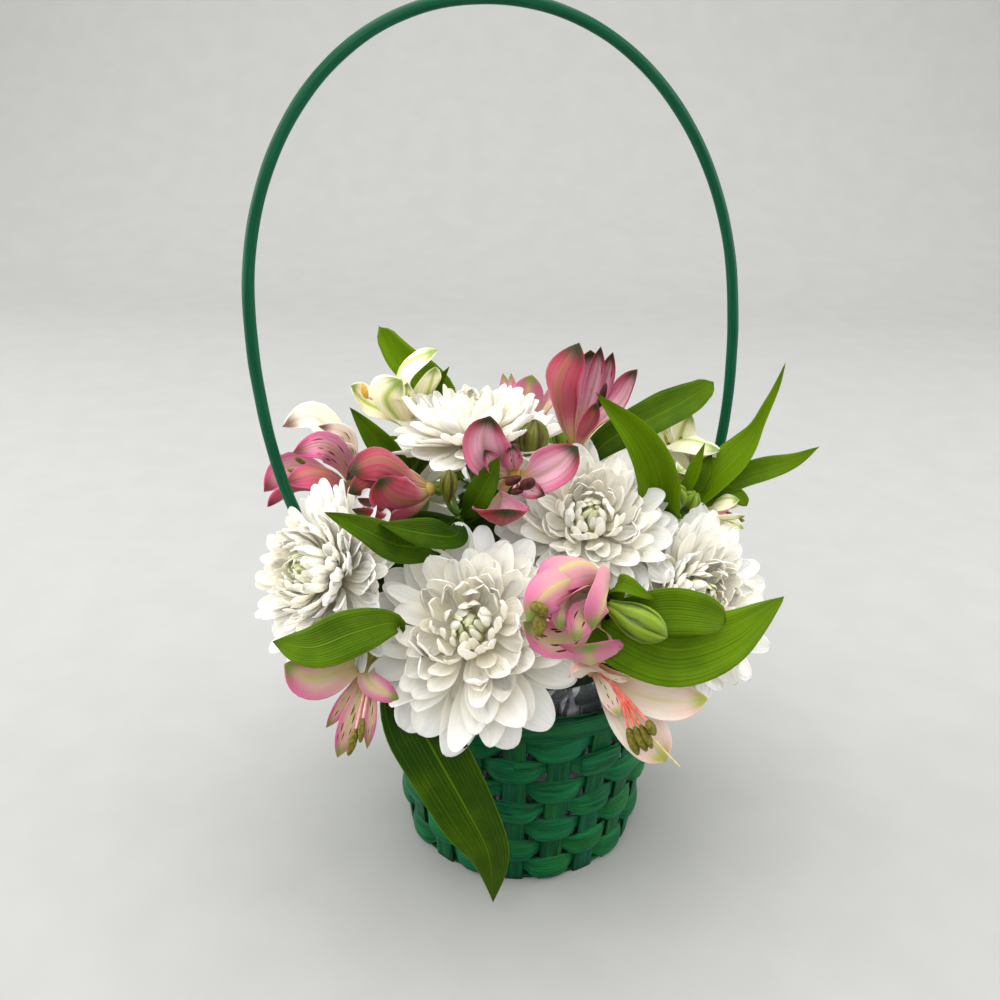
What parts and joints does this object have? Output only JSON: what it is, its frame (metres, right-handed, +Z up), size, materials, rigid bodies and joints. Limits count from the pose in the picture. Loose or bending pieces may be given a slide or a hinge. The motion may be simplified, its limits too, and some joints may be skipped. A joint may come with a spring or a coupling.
{
  "type": "flower basket arrangement",
  "caption": "Round woven chip-wood basket with a tall arched cane handle, filled with foam holding white chrysanthemums, pink and cream peruvian lilies and leaves.",
  "frame": {"origin": "centre of the basket's flat underside, on the table", "axes": "+Z up; -Y is the front of the arrangement, +X is to its right seen from the front"},
  "size_m": [0.2335, 0.218, 0.3523],
  "materials": {
    "chip_stake": "dyed green wood chip, dull satin, upright grain",
    "chip_weaver": "dyed green wood chip, satin, lengthwise grain",
    "chip_rim": "dyed green wood chip, satin",
    "cane": "dyed green bent cane, satin",
    "wet_foam": "wet floral foam, matt and finely porous",
    "clear_film": "clear crinkled film, glossy",
    "bloom_stem": "green stem, matt",
    "petal_white": "creamy white petal, soft and slightly translucent",
    "lily_leaf": "green leaf with parallel veins, satin",
    "tepal_cream": "cream petal with green midribs",
    "tepal_blush_white": "white petal with a pink blush",
    "tepal_pale_pink": "pale pink petal with yellow streaked throat",
    "tepal_salmon_pink": "salmon pink petal",
    "tepal_deep_pink": "deep pink petal with green tips"
  },
  "bodies": {
    "root": {"basket_frame": "chip_stake", "bloom_back": "petal_white", "bloom_back_left": "petal_white", "bloom_back_left_stem": "bloom_stem", "bloom_back_right": "petal_white", "bloom_back_right_stem": "bloom_stem", "bloom_back_stem": "bloom_stem", "bloom_centre_right": "petal_white", "bloom_centre_right_stem": "bloom_stem", "bloom_front": "petal_white", "bloom_front_stem": "bloom_stem", "bloom_left": "petal_white", "bloom_left_stem": "bloom_stem", "bloom_right": "petal_white", "bloom_right_stem": "bloom_stem", "bloom_top": "petal_white", "bloom_top_stem": "bloom_stem", "film_liner": "clear_film", "floret_back_left": "tepal_deep_pink", "floret_back_low": "tepal_salmon_pink", "floret_back_right": "tepal_cream", "floret_back_top": "tepal_pale_pink", "floret_centre": "tepal_deep_pink", "floret_centre_left": "tepal_deep_pink", "floret_far_right": "tepal_cream", "floret_front": "tepal_pale_pink", "floret_left_back": "tepal_salmon_pink", "floret_left_low": "tepal_pale_pink", "floret_right_back": "tepal_cream", "floret_right_low": "tepal_blush_white", "floret_top_left": "tepal_cream", "floret_top_right": "tepal_deep_pink", "foam": "wet_foam", "handle": "cane", "rim_hoop_inner": "chip_rim", "rim_hoop_outer": "chip_rim", "sprig_back_left": "lily_leaf", "sprig_back_low": "lily_leaf", "sprig_back_right": "lily_leaf", "sprig_centre": "lily_leaf", "sprig_left_back": "lily_leaf", "sprig_left_low": "lily_leaf", "sprig_right": "lily_leaf", "sprig_right_low": "lily_leaf", "sprig_top_right": "lily_leaf", "weaver_row_1": "chip_weaver", "weaver_row_2": "chip_weaver", "weaver_row_3": "chip_weaver", "weaver_row_4": "chip_weaver", "weaver_row_5": "chip_weaver", "weaver_row_6": "chip_weaver", "weaver_row_7": "chip_weaver"}
  },
  "joints": []
}
